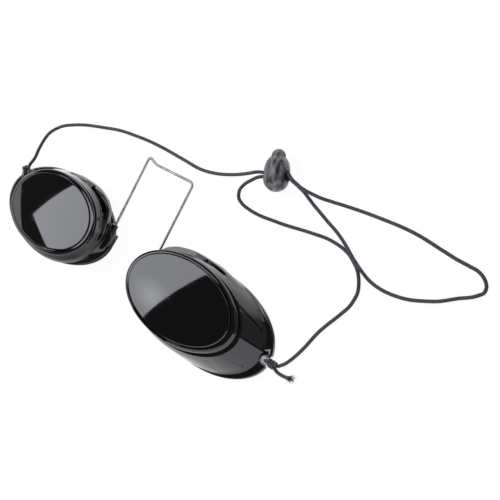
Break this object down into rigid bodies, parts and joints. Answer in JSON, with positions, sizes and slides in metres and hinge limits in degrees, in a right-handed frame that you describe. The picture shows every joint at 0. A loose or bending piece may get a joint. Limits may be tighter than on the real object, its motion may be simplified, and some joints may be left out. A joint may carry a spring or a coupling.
{
  "type": "intense pulsed light goggles",
  "caption": "Light-tight oval eyecups on a bent wire nose bridge, worn on a thin elastic cord with a sprung cord lock.",
  "frame": {"origin": "on the surface that the rims' eye side rests on, under the middle of the pair's box without the cord", "axes": "+X across the face towards the right cup, +Y towards the brow, +Z towards the front panels"},
  "size_m": [0.1957, 0.0811, 0.0179],
  "materials": {
    "bridge_steel": "drawn wire, dull",
    "cup_plastic": "moulded black, satin inside",
    "shell_plastic": "polished black",
    "panel_plastic": "mirror-polished black, opaque",
    "cord_braid": "round braided cover over elastic",
    "lock_plastic": "grey-black with a soft sheen",
    "spring_steel": "bright spring wire"
  },
  "bodies": {
    "bridge": {"bridge_wire": "bridge_steel", "cord_left_run": "cord_braid", "cord_back_loop": "cord_braid", "cord_right_run": "cord_braid"},
    "left_cup": {"left_eye_cup": "cup_plastic", "left_outer_shell": "shell_plastic", "left_rim_ring": "shell_plastic", "left_front_panel": "panel_plastic", "left_cord_knot": "cord_braid"},
    "right_cup": {"right_eye_cup": "cup_plastic", "right_outer_shell": "shell_plastic", "right_rim_ring": "shell_plastic", "right_front_panel": "panel_plastic", "right_cord_knot": "cord_braid"},
    "lock": {"lock_barrel": "lock_plastic", "lock_spring": "spring_steel"},
    "plunger": {"lock_plunger": "lock_plastic"}
  },
  "joints": [
    {"name": "right_cup_swivel", "type": "hinge", "parent": "bridge", "child": "right_cup", "pos_m": [0.0116, -0.00115, 0.0064], "axis": [0, 0.9976, 0.0698], "range_deg": [-15, 35], "deforming": ["cord_right_run"]},
    {"name": "left_cup_swivel", "type": "hinge", "parent": "bridge", "child": "left_cup", "pos_m": [-0.0116, -0.00115, 0.0064], "axis": [0, 0.9976, 0.0698], "range_deg": [-35, 15], "deforming": ["cord_left_run"]},
    {"name": "lock_slide", "type": "slide", "parent": "bridge", "child": "lock", "axis": [0.891, 0.454, 0], "range_m": [-0.002, 0.0008]},
    {"name": "plunger_press", "type": "slide", "parent": "lock", "child": "plunger", "axis": [-0.454, 0.891, 0], "range_m": [-0.0012, 0], "stiffness_N_per_m": 400, "springref_m": 0.001, "deforming": ["lock_spring"]}
  ]
}
